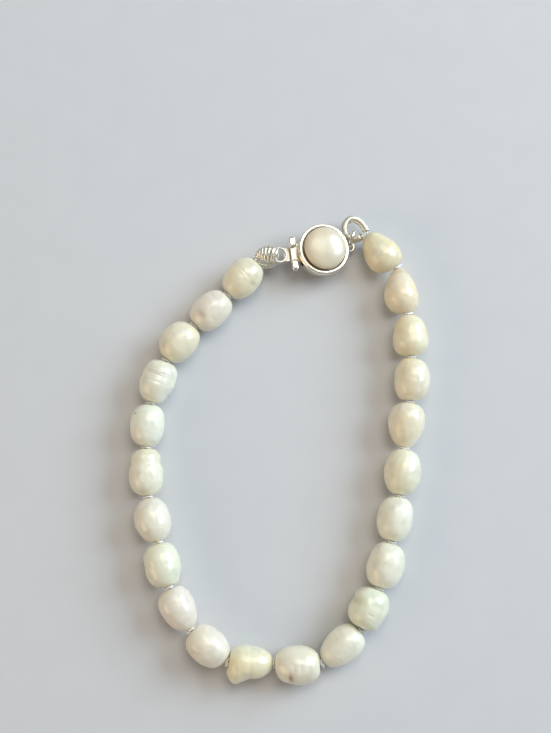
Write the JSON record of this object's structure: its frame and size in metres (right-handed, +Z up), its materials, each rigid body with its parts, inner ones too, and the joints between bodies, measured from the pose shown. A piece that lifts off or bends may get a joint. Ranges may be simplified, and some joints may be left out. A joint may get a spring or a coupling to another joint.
{
  "type": "pearl bracelet",
  "caption": "Freshwater pearl bracelet on a knotted silk thread, closed by a round silver box clasp set with a button pearl.",
  "frame": {"origin": "under the middle of the loop's box, on the surface that the bracelet lies on", "axes": "+Z up from the surface, +Y along the loop's longest extent towards the clasp, +X towards the jump ring side"},
  "size_m": [0.0502, 0.0778, 0.0064],
  "materials": {
    "pearl": "lustrous nacre, creamy white with faint pink and green overtones",
    "clasp_pearl": "lustrous nacre, warm champagne",
    "silk": "twisted white silk",
    "gimp": "fine coiled silver wire",
    "silver": "polished silver"
  },
  "bodies": {
    "root": {"pearl_01": "pearl", "pearl_02": "pearl", "pearl_03": "pearl", "pearl_04": "pearl", "pearl_05": "pearl", "pearl_06": "pearl", "pearl_07": "pearl", "pearl_08": "pearl", "pearl_09": "pearl", "pearl_10": "pearl", "pearl_11": "pearl", "pearl_12": "pearl", "pearl_13": "pearl", "pearl_14": "pearl", "pearl_15": "pearl", "pearl_16": "pearl", "pearl_17": "pearl", "pearl_18": "pearl", "pearl_19": "pearl", "pearl_20": "pearl", "pearl_21": "pearl", "pearl_22": "pearl", "silk_thread": "silk", "gimp_left": "gimp", "gimp_right": "gimp", "clasp_box": "silver", "clasp_tongue": "silver", "clasp_pearl": "clasp_pearl", "jump_ring": "silver"}
  },
  "joints": []
}
